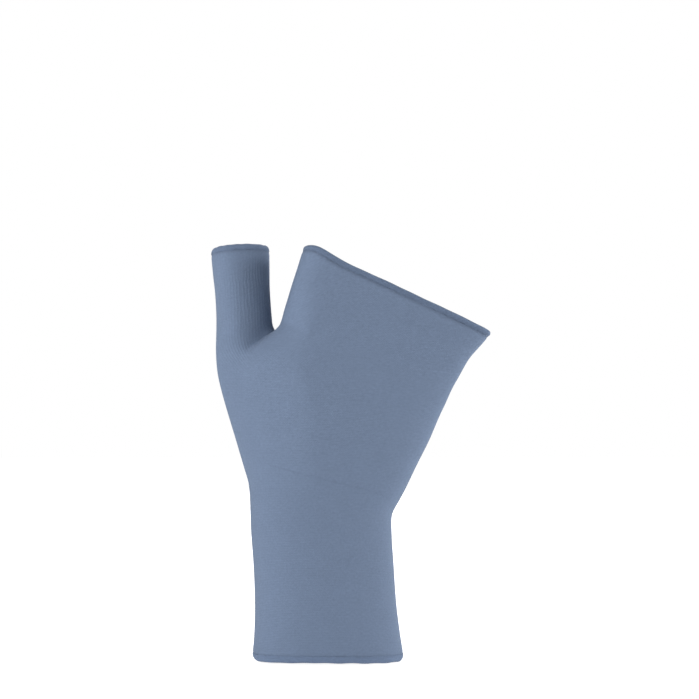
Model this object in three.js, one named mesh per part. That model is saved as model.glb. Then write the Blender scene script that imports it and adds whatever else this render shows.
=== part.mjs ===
// Compression gauntlet for a right hand, in the shape that it has when worn: a knitted sleeve from the
// forearm to the knuckles, a knitted thumb stall joined to it round the root of the thumb, and a rolled hem
// at each opening. Millimetres. The origin is the middle of the wrist. +X runs from the thumb side (radial)
// to the little finger side (ulnar), -Y out of the back of the hand (dorsal), +Y out of the palm, and +Z
// from the forearm to the fingers.
import * as THREE from "three";

// Driving dimensions
const FABRIC = 1.1; // thickness of the knit, one layer
const HEM_THICKNESS = 2.0; // the knit rolled over on itself, flush with the knit beside it
const HEM_GAP = 0.3; // stitch line between a hem and the knit
const HEM_SEAM_RADIUS = 0.4; // round of a hem's stitched edge
const HEM_INNER_RADIUS = 0.3; // round of its free edge on the inside
// Each hem's height, from its stitch line to its free edge, and the round of that edge on the outside
const HEM = {
  wrist: { height: 2.7, edgeRadius: 1.5 },
  finger: { height: 2.4, edgeRadius: 1.0 },
  thumb: { height: 2.4, edgeRadius: 1.5 },
};
const SEAM_GAP = 0.3; // joining line between the thumb stall and the sleeve

// Fineness of the surface
const HAND_COLUMNS = 32; // round the sleeve, from the thumb's palm side past the little finger to its back
const THUMB_COLUMNS = 12; // round the outer side of the thumb
const WEB_COLUMNS = 8; // over the web between the thumb and the hand
const ROWS_PER_SECTION = 2;
const CORNER_STEPS = 2; // half of the steps round each corner of a hem's profile
const OUTLINE_ANGLES = 240; // that part of a section's outline is drawn with
const OUTLINE_STEP = 0.5; // between its points when it is rounded
const OUTLINE_ROUNDS = 20; // of smoothing that round it where it turns sharply
const TURN_WEIGHT = 6; // a radian of turning spaces columns like this many millimetres of outline

const COLOUR = { knit: 0x7385a0, hem: 0x6c7d98 };

// Cross-sections, a row each. The radial and ulnar columns are the ends of the section, on its outline from
// the front. dorsalY and palmarY are how far it reaches to the back of the hand and to the palm. ridge and
// pad say where across it those two are reached: -1 is the radial end and 1 the ulnar one. The next four
// columns are the roundness of its quarters: 2 is an ellipse, less is a slope and more is squarer. tilt
// raises the dorsal side, in degrees, and knuckle is how far the first knuckle pushes it towards the fingers.
const SECTION_COLUMNS = [
  "radialX", "radialY", "radialZ", "ulnarX", "ulnarY", "ulnarZ", "dorsalY", "palmarY", "ridge", "pad",
  "backRadial", "backUlnar", "palmRadial", "palmUlnar", "tilt", "knuckle",
];
const SLEEVE = sections([
  [-27.4, 0.5, -51.3, 32.9, 0.5, -51.6, -20.6, 21.8, 0.0, 0.0, 2.6, 2.6, 2.4, 2.4, 0, 0],
  [-26.8, 0.5, -44.8, 31.8, 0.5, -44.8, -20.2, 21.4, 0.0, 0.0, 2.4, 2.5, 2.3, 2.3, 0, 0],
  [-26.5, 0.5, -32.0, 30.2, 0.5, -32.0, -19.6, 20.4, 0.0, 0.0, 2.2, 2.4, 2.2, 2.2, 0, 0],
  [-27.1, 0.5, -16.0, 29.1, 0.5, -16.0, -18.8, 19.4, 0.0, 0.0, 2.1, 2.4, 2.2, 2.2, 0, 0],
  [-28.1, 0.5, -2.4, 28.3, 0.5, -2.4, -18.3, 19.0, 0.0, 0.0, 2.1, 2.4, 2.2, 2.2, 0, 0],
  [-28.5, 0.8, 9.6, 28.6, 0.5, 4.0, -18.0, 19.4, -0.05, -0.05, 2.0, 2.4, 2.2, 2.3, 0, 0],
  [-29.1, 1.2, 16.0, 31.5, 0.5, 9.6, -17.8, 20.0, -0.08, -0.1, 1.8, 2.5, 2.2, 2.4, 0, 0],
  [-31.2, 2.0, 23.2, 34.0, 0.6, 14.4, -17.6, 20.8, -0.1, -0.2, 1.6, 2.5, 2.2, 2.6, 0, 0],
  [-34.8, 3.4, 35.2, 38.6, 0.8, 24.0, -17.1, 21.6, -0.12, -0.36, 1.4, 2.5, 2.3, 2.9, 0, 0],
  [-38.7, 4.6, 48.0, 43.4, 1.0, 33.6, -16.4, 21.4, -0.12, -0.44, 1.32, 2.4, 2.4, 3.0, 0, 0],
  [-41.7, 5.2, 60.0, 47.2, 1.0, 42.4, -15.7, 20.6, -0.14, -0.48, 1.28, 2.35, 2.5, 3.0, 0, 0],
  [-42.6, 5.4, 69.6, 50.4, 1.0, 49.2, -15.1, 19.4, -0.15, -0.5, 1.32, 2.3, 2.5, 2.9, 0, 0],
]);
const HAND = sections([
  [-17.0, 1.6, 79.2, 53.0, 1.0, 54.8, -14.6, 17.6, -0.62, -0.3, 1.4, 2.3, 2.5, 2.8, 1, 0],
  [-14.8, 1.2, 85.6, 55.5, 1.0, 59.2, -14.2, 16.6, -0.6, -0.24, 1.75, 2.3, 2.5, 2.7, 1, 0],
  [-12.0, 0.8, 94.8, 59.4, 0.8, 66.0, -13.5, 15.1, -0.6, -0.16, 2.2, 2.3, 2.5, 2.6, 2, 0],
  [-9.4, 0.5, 102.9, 64.0, 0.6, 71.3, -12.8, 13.8, -0.6, -0.08, 2.3, 2.4, 2.5, 2.5, 4, 0.8],
  [-7.6, 0.5, 108.8, 66.8, 0.5, 74.5, -12.4, 13.2, -0.6, 0.0, 2.4, 2.5, 2.5, 2.5, 5, 1.7],
]);
const THUMB = sections([
  [-42.3, 6.6, 74.4, -19.8, 6.6, 80.8, -4.4, 18.8, -0.18, 0.0, 1.7, 1.75, 2.1, 2.1, 3, 0],
  [-42.2, 7.8, 82.4, -20.0, 7.4, 86.4, -3.5, 18.8, -0.18, 0.0, 1.9, 1.75, 2.1, 2.1, 4, 0],
  [-42.7, 8.4, 92.0, -20.5, 8.2, 94.4, -2.5, 19.1, -0.18, 0.0, 2.1, 1.75, 2.1, 2.1, 5, 0],
  [-43.6, 8.9, 100.0, -20.6, 8.8, 101.6, -2.0, 19.6, -0.18, 0.0, 2.1, 1.75, 2.1, 2.1, 6, 0],
  [-44.3, 9.2, 107.5, -20.7, 9.2, 109.1, -2.0, 20.3, -0.18, 0.0, 2.1, 1.75, 2.2, 2.2, 7, 0],
]);
const KNUCKLE_PLACE = -0.92; // on the same scale as ridge
const KNUCKLE_SPREAD = 0.19;

// The web between the thumb and the hand: its lowest point, and how far round each kind of section it
// reaches, in degrees from the little finger side over the back of the hand.
const WEB_POINT = new THREE.Vector3(-18.4, 5.0, 77.2);
const THUMB_ON_SLEEVE = { dorsal: 146, palmar: 252 };
const WEB_ON_HAND = { dorsal: 160, palmar: 210 };
const WEB_ON_THUMB = { dorsal: 80, palmar: -64 };
const WEB_EASE_RADIUS = 16; // the surface is smoothed this far round both ends of the web
const WEB_EASE_ROUNDS = 12;

function addPiece(name, geometry, material) {
  const mesh = new THREE.Mesh(geometry, material);
  mesh.name = name;
  gauntlet.add(mesh);
}

// Table rows as objects, by the names of their columns.
function sections(rows) {
  return rows.map((row) => Object.fromEntries(SECTION_COLUMNS.map((column, i) => [column, row[i]])));
}

// A point of a section's outline. The angle runs from the ulnar end (0) over the back of the hand (90) to the
// radial end (180) and round the palm.
function sectionPoint(section, degrees) {
  const angle = THREE.MathUtils.degToRad(degrees);
  const isDorsal = Math.sin(angle) >= 0;
  const isUlnar = Math.cos(angle) >= 0;
  const power = 2 / section[(isDorsal ? "back" : "palm") + (isUlnar ? "Ulnar" : "Radial")];
  const peak = isDorsal ? section.ridge : section.pad;
  const side = isUlnar ? 1 : -1;
  const along = THREE.MathUtils.lerp(peak, side, Math.abs(Math.cos(angle)) ** power);
  const rise = Math.abs(Math.sin(angle)) ** power;

  const x = THREE.MathUtils.lerp(section.radialX, section.ulnarX, (1 + along) / 2);
  const z = THREE.MathUtils.lerp(section.radialZ, section.ulnarZ, (1 + along) / 2);
  const endY = isUlnar ? section.ulnarY : section.radialY;
  const y = THREE.MathUtils.lerp(endY, isDorsal ? section.dorsalY : section.palmarY, rise);
  const level = THREE.MathUtils.lerp(section.radialY, section.ulnarY, (1 + along) / 2);
  const tilted = Math.tan(THREE.MathUtils.degToRad(section.tilt)) * (level - y);
  const pushed = section.knuckle * Math.exp(-(((along - KNUCKLE_PLACE) / KNUCKLE_SPREAD) ** 2));
  const up = new THREE.Vector3(section.radialZ - section.ulnarZ, 0, section.ulnarX - section.radialX);
  return new THREE.Vector3(x, y, z).addScaledVector(up.normalize(), tilted + (isDorsal ? pushed * rise : 0));
}

// Points of a section between two angles, on an outline rounded where it turns sharply, and closer together
// where it turns.
function arcPoints(section, from, to, columns) {
  const drawn = Array.from({ length: OUTLINE_ANGLES + 1 }, (_, i) =>
    sectionPoint(section, THREE.MathUtils.lerp(from, to, i / OUTLINE_ANGLES)),
  );
  const lengths = reachAlong(drawn, 0);
  let outline = spaced(drawn, lengths, Math.round(lengths.at(-1) / OUTLINE_STEP));
  for (let round = 0; round < OUTLINE_ROUNDS; round++) {
    const inner = outline.slice(1, -1).map((point, i) => {
      const middle = outline[i].clone().lerp(outline[i + 2], 0.5);
      return middle.lerp(point, 0.5);
    });
    outline = [outline[0], ...inner, outline.at(-1)];
  }
  return spaced(outline, reachAlong(outline, TURN_WEIGHT), columns);
}

// The length of a line up to each of its points, to which every radian that it turns adds turnWeight.
function reachAlong(points, turnWeight) {
  const steps = points.slice(1).map((point, i) => point.clone().sub(points[i]));
  const reach = [0];
  steps.forEach((step, i) => {
    const turn = i ? step.angleTo(steps[i - 1]) : 0;
    reach.push(reach[i] + step.length() + turnWeight * turn);
  });
  return reach;
}

// Points on a line at even shares of its reach.
function spaced(points, reach, shares) {
  return Array.from({ length: shares + 1 }, (_, i) => {
    const goal = (reach.at(-1) * i) / shares;
    const end = Math.max(1, reach.findIndex((r) => r >= goal - 1e-9));
    const share = (goal - reach[end - 1]) / (reach[end] - reach[end - 1]);
    return points[end - 1].clone().lerp(points[end], share);
  });
}

// The arch over the web, from the back of the hand to the palm, through the web's lowest point.
function webArch(dorsalEnd, palmarEnd) {
  const ends = dorsalEnd.clone().add(palmarEnd).multiplyScalar(0.5);
  const pull = WEB_POINT.clone().multiplyScalar(2).sub(ends);
  return new THREE.QuadraticBezierCurve3(dorsalEnd, pull, palmarEnd).getSpacedPoints(WEB_COLUMNS);
}

// A smooth line through the points, with the same number of steps between each two.
function smoothLine(points) {
  const curve = new THREE.CatmullRomCurve3(points, false, "centripetal");
  return curve.getPoints((points.length - 1) * ROWS_PER_SECTION);
}

// The knit's outer surface as quads. Its lines run along the sleeve in three families: past the little finger
// from hem to hem, past the thumb's outer side, and from the finger hem over the web to the thumb hem. Their
// shared end lines meet at the two ends of the web.
function knitQuads() {
  const past = { dorsal: THUMB_ON_SLEEVE.dorsal, palmar: THUMB_ON_SLEEVE.palmar - 360 };
  const round = { dorsal: WEB_ON_HAND.dorsal, palmar: WEB_ON_HAND.palmar - 360 };
  const sleeveHand = SLEEVE.map((s) => arcPoints(s, past.palmar, past.dorsal, HAND_COLUMNS));
  const sleeveThumb = SLEEVE.map((s) =>
    arcPoints(s, THUMB_ON_SLEEVE.dorsal, THUMB_ON_SLEEVE.palmar, THUMB_COLUMNS),
  );
  const hand = HAND.map((s) => arcPoints(s, round.palmar, round.dorsal, HAND_COLUMNS));
  const handWeb = HAND.map((s) => arcPoints(s, WEB_ON_HAND.dorsal, WEB_ON_HAND.palmar, WEB_COLUMNS));
  const thumb = THUMB.map((s) =>
    arcPoints(s, WEB_ON_THUMB.dorsal, WEB_ON_THUMB.palmar + 360, THUMB_COLUMNS),
  );
  const thumbWeb = THUMB.map((s) => arcPoints(s, WEB_ON_THUMB.dorsal, WEB_ON_THUMB.palmar, WEB_COLUMNS));
  const root = sleeveThumb.at(-1);
  const arch = webArch(root[0], root[THUMB_COLUMNS]);

  const column = (rings, i) => rings.map((ring) => ring[i]);
  const handLine = (i) => {
    const below = column(sleeveHand, i);
    const above = column(hand, i);
    return i % HAND_COLUMNS ? smoothLine([...below, ...above]) : bentLine(below, above);
  };
  const thumbLine = (i) => {
    const below = column(sleeveThumb, i);
    const above = column(thumb, i);
    return i % THUMB_COLUMNS ? smoothLine([...below, ...above]) : bentLine(below, above);
  };
  const webLine = (i) => {
    const down = column(handWeb, i).reverse();
    const over = [...down, arch[i]];
    const up = column(thumbWeb, i);
    return i % WEB_COLUMNS ? smoothLine([...over, ...up]) : bentLine(over, up);
  };

  const sleeveRows = (SLEEVE.length - 1) * ROWS_PER_SECTION;
  const handRows = HAND.length * ROWS_PER_SECTION;
  const sleeveUpTo = (rows) => (row) => (row < rows ? "hand_sleeve" : "thumb_stall");
  return [
    ...quadsBetween(lines(handLine, HAND_COLUMNS), sleeveUpTo(Infinity)),
    ...quadsBetween(lines(thumbLine, THUMB_COLUMNS), sleeveUpTo(sleeveRows)),
    ...quadsBetween(lines(webLine, WEB_COLUMNS).reverse(), sleeveUpTo(handRows)),
  ];
}

// Two smooth lines that meet at an angle, where three families of lines share a point.
function bentLine(below, above) {
  const upper = [below.at(-1), ...above];
  return [...smoothLine(below), ...smoothLine(upper).slice(1)];
}

function lines(line, columns) {
  return Array.from({ length: columns + 1 }, (_, i) => line(i));
}

function quadsBetween(columns, pieceOfRow) {
  const quads = [];
  for (let i = 0; i + 1 < columns.length; i++) {
    for (let row = 0; row + 1 < columns[i].length; row++) {
      const corners = [columns[i][row], columns[i][row + 1], columns[i + 1][row + 1], columns[i + 1][row]];
      quads.push({ corners, piece: pieceOfRow(row) });
    }
  }
  return quads;
}

// Quads whose corners coincide, as one surface with shared points.
function welded(quads) {
  const places = new Map();
  const points = [];
  const faces = quads.map(({ corners, piece }) => {
    const ids = corners.map((corner) => {
      const place = corner.toArray().map((v) => v.toFixed(3)).join();
      if (!places.has(place)) {
        places.set(place, points.length);
        points.push(corner.clone());
      }
      return places.get(place);
    });
    return { ids, piece };
  });
  return { points, faces, webEnds: webEnds() };
}

function webEnds() {
  const { dorsal, palmar } = THUMB_ON_SLEEVE;
  return [dorsal, palmar].map((angle) => sectionPoint(SLEEVE.at(-1), angle));
}

// The surface with the bends round the ends of the web smoothed out: each point moves towards the middle of
// its neighbours, less and less away from the web.
function eased({ points, faces, webEnds }) {
  const neighbours = points.map(() => new Set());
  for (const { ids } of faces) {
    ids.forEach((id, i) => {
      const next = ids[(i + 1) % ids.length];
      neighbours[id].add(next);
      neighbours[next].add(id);
    });
  }
  const share = points.map((p) => {
    const away = Math.min(...webEnds.map((end) => end.distanceTo(p)));
    return 0.5 * (1 - THREE.MathUtils.smoothstep(away, 0, WEB_EASE_RADIUS));
  });
  let now = points;
  for (let round = 0; round < WEB_EASE_ROUNDS; round++) {
    now = now.map((p, id) => {
      if (!share[id]) return p;
      const middle = new THREE.Vector3();
      neighbours[id].forEach((n) => middle.add(now[n]));
      return p.clone().lerp(middle.divideScalar(neighbours[id].size), share[id]);
    });
  }
  return { points: now, faces };
}

function vertexNormals({ points, faces }) {
  const sums = points.map(() => new THREE.Vector3());
  for (const { ids } of faces) {
    const [a, b, c, d] = ids.map((id) => points[id]);
    const turned = c.clone().sub(a).cross(d.clone().sub(b));
    ids.forEach((id) => sums[id].add(turned));
  }
  return sums.map((n) => n.normalize());
}

// Edges that only one of the faces has, each in the direction that its face runs round it.
function openEdges(faces) {
  const edges = new Map();
  for (const { ids } of faces) {
    ids.forEach((from, i) => {
      const to = ids[(i + 1) % ids.length];
      edges.set(`${from} ${to}`, [from, to]);
    });
  }
  return [...edges.values()].filter(([from, to]) => !edges.has(`${to} ${from}`));
}

// One piece of the knit as a closed wall: its outer surface, the same surface FABRIC further in, and a rim
// round each edge. The edge along the joining line draws back by half of the gap there.
function fabricShell(piece) {
  const faces = surface.faces.filter((face) => face.piece === piece);
  const rim = openEdges(faces);
  const free = new Set(openEdges(surface.faces).flat());
  const inwards = new Map();
  for (const [from, to] of rim) {
    for (const id of [from, to].filter((v) => !free.has(v))) {
      const edge = surface.points[to].clone().sub(surface.points[from]);
      const sum = inwards.get(id) ?? new THREE.Vector3();
      inwards.set(id, sum.add(normals[id].clone().cross(edge)));
    }
  }
  const outer = (id) => {
    const place = surface.points[id].clone();
    return inwards.has(id) ? place.addScaledVector(inwards.get(id).clone().normalize(), SEAM_GAP / 2) : place;
  };
  const inner = (id) => outer(id).addScaledVector(normals[id], -FABRIC);

  const quads = [];
  for (const { ids } of faces) {
    quads.push(ids.map(outer), ids.map(inner).reverse());
  }
  for (const [from, to] of rim) {
    const round = [outer(to), outer(from), inner(from), inner(to)];
    quads.push(from < to ? round : [...round.slice(1), round[0]]);
  }
  return quadGeometry(quads);
}

// A hem's profile: x from the stitch line to the free edge, y out of the fabric.
function hemProfile({ height, edgeRadius }) {
  const corner = (shape, x, y, radius, turns) =>
    shape.absarc(x, y, radius, (turns * Math.PI) / 2, ((turns + 1) * Math.PI) / 2, false);
  const shape = new THREE.Shape();
  const seam = HEM_GAP + HEM_SEAM_RADIUS;
  corner(shape, seam, HEM_SEAM_RADIUS - HEM_THICKNESS, HEM_SEAM_RADIUS, 2);
  corner(shape, height - HEM_INNER_RADIUS, HEM_INNER_RADIUS - HEM_THICKNESS, HEM_INNER_RADIUS, 3);
  corner(shape, height - edgeRadius, -edgeRadius, edgeRadius, 0);
  corner(shape, seam, -HEM_SEAM_RADIUS, HEM_SEAM_RADIUS, 1);
  return shape.getPoints(CORNER_STEPS);
}

// The hem round the opening that ends at a section: its profile carried round the edge of the knit.
function rolledHem(section, sizes) {
  const edge = openingEdge(section);
  const profile = hemProfile(sizes);
  const rings = edge.map((id, i) => {
    const before = surface.points[edge.at(i - 1)];
    const after = surface.points[edge[(i + 1) % edge.length]];
    const offKnit = after.clone().sub(before).cross(normals[id]).normalize();
    return profile.map(({ x, y }) =>
      surface.points[id].clone().addScaledVector(offKnit, x).addScaledVector(normals[id], y),
    );
  });
  const quads = [];
  rings.forEach((ring, i) => {
    const next = rings[(i + 1) % rings.length];
    ring.forEach((point, k) => {
      const l = (k + 1) % ring.length;
      quads.push([point, next[k], next[l], ring[l]]);
    });
  });
  return quadGeometry(quads);
}

// The knit's open edge at a section, as point numbers in order round it.
function openingEdge(section) {
  const following = new Map(openEdges(surface.faces));
  const start = sectionPoint(section, 0);
  const away = (id) => surface.points[id].distanceTo(start);
  const first = [...following.keys()].reduce((best, id) => (away(id) < away(best) ? id : best));
  const edge = [first];
  for (let id = following.get(first); id !== first; id = following.get(id)) edge.push(id);
  return edge;
}

function quadGeometry(quads) {
  const corners = quads.flatMap(([a, b, c, d]) => [a, b, c, a, c, d]);
  return new THREE.BufferGeometry().setFromPoints(corners);
}

const gauntlet = new THREE.Group();
const surface = eased(welded(knitQuads()));
const normals = vertexNormals(surface);
const knit = new THREE.MeshStandardMaterial({ color: COLOUR.knit, roughness: 0.9, metalness: 0 });
const hem = new THREE.MeshStandardMaterial({ color: COLOUR.hem, roughness: 0.95, metalness: 0 });
addPiece("hand_sleeve", fabricShell("hand_sleeve"), knit);
addPiece("thumb_stall", fabricShell("thumb_stall"), knit);
addPiece("wrist_hem", rolledHem(SLEEVE[0], HEM.wrist), hem);
addPiece("finger_hem", rolledHem(HAND.at(-1), HEM.finger), hem);
addPiece("thumb_hem", rolledHem(THUMB.at(-1), HEM.thumb), hem);

export default gauntlet;
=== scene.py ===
import collections
import functools
import math

import bpy
import numpy as np
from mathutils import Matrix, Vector


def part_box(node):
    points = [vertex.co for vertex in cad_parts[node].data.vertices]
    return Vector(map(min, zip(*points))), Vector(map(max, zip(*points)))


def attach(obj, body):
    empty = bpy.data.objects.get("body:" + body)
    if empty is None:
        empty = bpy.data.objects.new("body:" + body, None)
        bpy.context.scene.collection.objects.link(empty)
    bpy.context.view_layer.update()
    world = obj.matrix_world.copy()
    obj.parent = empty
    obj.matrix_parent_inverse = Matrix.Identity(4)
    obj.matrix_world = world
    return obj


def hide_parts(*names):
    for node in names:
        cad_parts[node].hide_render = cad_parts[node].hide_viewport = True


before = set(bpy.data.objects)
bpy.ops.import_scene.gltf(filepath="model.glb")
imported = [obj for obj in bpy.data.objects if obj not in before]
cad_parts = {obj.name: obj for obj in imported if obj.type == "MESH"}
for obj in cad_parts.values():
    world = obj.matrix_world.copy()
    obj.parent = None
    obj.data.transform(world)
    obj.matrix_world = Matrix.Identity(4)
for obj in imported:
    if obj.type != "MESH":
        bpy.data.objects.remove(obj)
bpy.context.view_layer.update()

bl_info = {
    "name": "Compression gauntlet",
    "version": (1, 0, 0),
    "blender": (4, 5, 0),
    "location": "3D View > Sidebar > Gauntlet",
    "description": "Makes a knitted compression gauntlet with a thumb stall and rolled hems, and its stage",
    "category": "Add Mesh",
}

# The loft below works in millimetres, as the gauntlet was measured, and the meshes are in metres.
MM = 0.001

# Cross-sections of the knit, a row each, in the order of these names. The radial end is on the stall's side and
# the ulnar end on the other, and both lie on the outline from the front. dorsal_y and palmar_y are how far a
# section reaches to the back and to the palm side, and ridge and pad say where across it that is: -1 is the
# radial end and 1 the ulnar one. The next four are the roundness of its quarters: 2 is an ellipse. tilt raises
# the back, in degrees, and crest lifts it near the radial end, in millimetres.
Section = collections.namedtuple(
    "Section",
    "radial_x radial_y radial_z ulnar_x ulnar_y ulnar_z dorsal_y palmar_y ridge pad"
    " back_radial back_ulnar palm_radial palm_ulnar tilt crest",
)
# The sleeve from the wrist hem to the web
SLEEVE = [
    Section(-27.4, 0.5, -51.3, 32.9, 0.5, -51.6, -20.6, 21.8, 0.0, 0.0, 2.6, 2.6, 2.4, 2.4, 0, 0),
    Section(-26.8, 0.5, -44.8, 31.8, 0.5, -44.8, -20.2, 21.4, 0.0, 0.0, 2.4, 2.5, 2.3, 2.3, 0, 0),
    Section(-26.5, 0.5, -32.0, 30.2, 0.5, -32.0, -19.6, 20.4, 0.0, 0.0, 2.2, 2.4, 2.2, 2.2, 0, 0),
    Section(-27.1, 0.5, -16.0, 29.1, 0.5, -16.0, -18.8, 19.4, 0.0, 0.0, 2.1, 2.4, 2.2, 2.2, 0, 0),
    Section(-28.1, 0.5, -2.4, 28.3, 0.5, -2.4, -18.3, 19.0, 0.0, 0.0, 2.1, 2.4, 2.2, 2.2, 0, 0),
    Section(-28.5, 0.8, 9.6, 28.6, 0.5, 4.0, -18.0, 19.4, -0.05, -0.05, 2.0, 2.4, 2.2, 2.3, 0, 0),
    Section(-29.1, 1.2, 16.0, 31.5, 0.5, 9.6, -17.8, 20.0, -0.08, -0.1, 1.8, 2.5, 2.2, 2.4, 0, 0),
    Section(-31.2, 2.0, 23.2, 34.0, 0.6, 14.4, -17.6, 20.8, -0.1, -0.2, 1.6, 2.5, 2.2, 2.6, 0, 0),
    Section(-34.8, 3.4, 35.2, 38.6, 0.8, 24.0, -17.1, 21.6, -0.12, -0.36, 1.4, 2.5, 2.3, 2.9, 0, 0),
    Section(-38.7, 4.6, 48.0, 43.4, 1.0, 33.6, -16.4, 21.4, -0.12, -0.44, 1.32, 2.4, 2.4, 3.0, 0, 0),
    Section(-41.7, 5.2, 60.0, 47.2, 1.0, 42.4, -15.7, 20.6, -0.17, -0.48, 1.26, 2.15, 2.5, 3.0, 0, 0),
    Section(-42.45, 5.4, 69.6, 50.4, 1.0, 49.2, -15.1, 19.4, -0.22, -0.5, 1.26, 2.05, 2.5, 2.9, 0, 0),
]
# The sleeve's mouth, from the web to the finger hem
MOUTH = [
    Section(-17.0, -1.0, 79.2, 53.0, 1.0, 54.8, -14.6, 17.6, -0.66, -0.3, 1.35, 2.05, 2.5, 2.8, 1, 0),
    Section(-14.8, -0.4, 85.6, 55.5, 1.0, 59.2, -14.2, 16.6, -0.64, -0.24, 1.65, 2.1, 2.5, 2.7, 1, 0),
    Section(-12.0, 0.3, 94.8, 59.4, 0.8, 66.0, -13.5, 15.1, -0.62, -0.16, 2.2, 2.3, 2.5, 2.6, 2, 0),
    Section(-9.4, 0.5, 102.9, 64.0, 0.6, 71.3, -12.8, 13.8, -0.6, -0.08, 2.3, 2.4, 2.5, 2.5, 4, 0.8),
    Section(-7.6, 0.5, 108.8, 66.8, 0.5, 74.5, -12.4, 13.2, -0.6, 0.0, 2.4, 2.5, 2.5, 2.5, 5, 1.7),
]
# The stall, from the web to the thumb hem
STALL = [
    Section(-42.3, 6.6, 74.4, -19.5, 6.6, 80.8, -4.4, 18.6, -0.18, 0.0, 1.7, 1.75, 2.1, 2.1, 3, 0),
    Section(-42.2, 7.8, 82.4, -20.0, 7.4, 86.4, -3.5, 18.8, -0.18, 0.0, 1.9, 1.75, 2.1, 2.1, 4, 0),
    Section(-42.7, 8.4, 92.0, -20.5, 8.2, 94.4, -2.5, 19.1, -0.18, 0.0, 2.1, 1.75, 2.1, 2.1, 5, 0),
    Section(-43.6, 8.9, 100.0, -20.6, 8.8, 101.6, -2.0, 19.6, -0.18, 0.0, 2.1, 1.75, 2.1, 2.1, 6, 0),
    Section(-44.3, 9.2, 107.5, -20.7, 9.2, 109.1, -2.0, 20.3, -0.18, 0.0, 2.1, 1.75, 2.2, 2.2, 7, 0),
]
# Where across a section its crest is, and how wide it is
CREST_PLACE = -0.92
CREST_SPREAD = 0.19

# The web between the stall and the mouth: its lowest point, and the angles between which the stall stands on the
# sleeve and the web on the two tubes, from the ulnar end over the back.
WEB_POINT = np.array([-18.4, 4.2, 77.2])
STALL_ON_SLEEVE = (146, 252)
WEB_ON_MOUTH = (160, 210)
WEB_ON_STALL = (80, -64)
# How sharply lines turn over the web on the back, where towards the palm side they don't any more, and how far
# and how much the bends round its back and palm ends are eased.
WEB_BEND = 0.7
WEB_ROUND = 0.4
WEB_EASE_RADIUS = 11.0
WEB_EASE_SHARES = (0.5, 0.2)
WEB_EASE_ROUNDS = 11

# Columns of the lattice that the surface passes through, and its rows: so many to a section, with more by the
# hems, by the web and along the crease, in places that count the sections.
MOUTH_COLUMNS = 48
STALL_COLUMNS = 18
WEB_COLUMNS = 12
ROWS = 2
HEM_ROWS = (0.22, 0.08)
VALLEY_ROWS = (0.28, 0.12)
CREASE_ROWS = (6.17, 6.33, 6.67, 6.83, 7.125, 7.25, 7.375)
# How often the lattice is halved and then fitted, the steps of an outline and of the web's line, the rounding of
# an outline, how much closer columns stand where it turns, and the shortest length that a step may have.
HALVINGS = 2
FITTINGS = 6
OUTLINE_STEPS = 2000
ARCH_STEPS = 400
ROUNDING = 1.6
TURN_WEIGHT = 5.0
SHORTEST = 1e-9

# The hems: height from the stitch line to the free edge, how far the stitch line lies under the knit, the
# rounding of the free edge, along the knit and through it, and how dark the dense stitches and the painted shade
# of the groove are, at the stitch line and at the free edge, where a value below zero is painted light. The knit
# beside a hem takes the dense stitches and painted shade of its stitch line, fading over a short reach.
Hem = collections.namedtuple("Hem", "height recess round_along round_through density edge_density seed")
HEMS = {
    "wrist": Hem(2.7, 0.14, 2.6, 1.85, 0.06, -0.1, 11),
    "finger": Hem(2.4, 0.22, 1.1, 1.0, 0.25, 0.05, 12),
    "thumb": Hem(2.4, 0.2, 2.0, 1.65, 0.2, -0.05, 13),
}
DENSE_AND_SHADE_REACH = 0.8
GROOVE_REACH = 0.8
HEM_STEP = 0.35
HEM_EASE_ROUNDS = 3

# A hem's profile, along the knit from the stitch line and out of it: its start under the knit, the flat face's
# knots as shares of its height and how the face rises, the steps of the round edge, the knots inside, each so
# far below the free edge, and the foot.
HEM_THICKNESS = 2.0
HEM_PROFILE_STEPS = 40
HEM_START = (-0.3, -0.9)
HEM_FACE = (0.0, 0.33, 0.67)
HEM_FACE_POWER = 1.5
HEM_ROUND_STEPS = 5
HEM_INSIDE = ((0.2, -1.68), (0.7, -HEM_THICKNESS))
HEM_FOOT = ((0.3, -1.75), (-0.2, -1.3))

# Stitches of a hem: how far up and through it they reach, how uneven they are, their mean, and how much they draw
# it along the knit and into it. Then its slow waves: least turns and the limit, how many, and their height.
STITCH_REACH = 0.9
STITCH_THROUGH = -1.0
STITCH_SPREAD = 0.35
STITCH_MEAN = 0.7
STITCH_DRAW = 0.18
STITCH_DEPTH = 0.10
WAVE_TURNS = (4, 19)
WAVES = 5
WAVE_HEIGHT = 0.035

# The faint crease across the sleeve: points x, z of its line, half its width, the shares of its length over which
# its ends fade, how dark its painted shade is, and the place, half the length and painted shade of a pucker in it.
CREASE_LINE = np.array([(-25.2, 25.9), (-14.9, 22.7), (1.6, 18.4), (16.6, 14.6), (24.0, 12.0), (27.1, 10.2)])
CREASE_WIDTH = 0.45
CREASE_FADES = (0.08, 0.06)
CREASE_PAINTED_SHADE = 0.04
PUCKER_X = 5.4
PUCKER_LENGTH = 0.9
PUCKER_PAINTED_SHADE = 0.09

# The stall's ribs come in over a length above its root. On the root itself they lean: the middle x, z of that
# patch, half its width and height, how far to the palm side it goes, the width of a rib, the height below which
# ribs lean more and more, how much, and how far down.
RIB_RAMP = 10.0
ROOT_RIBS = np.array([-33.2, 69.4])
ROOT_RIBS_SIZE = np.array([5.5, 6.5])
ROOT_RIBS_PALM_Y = 8.0
ROOT_RIB = 1.2
LEAN_TOP = 75.5
LEAN = 0.038
LEAN_REACH = 20.0

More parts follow.
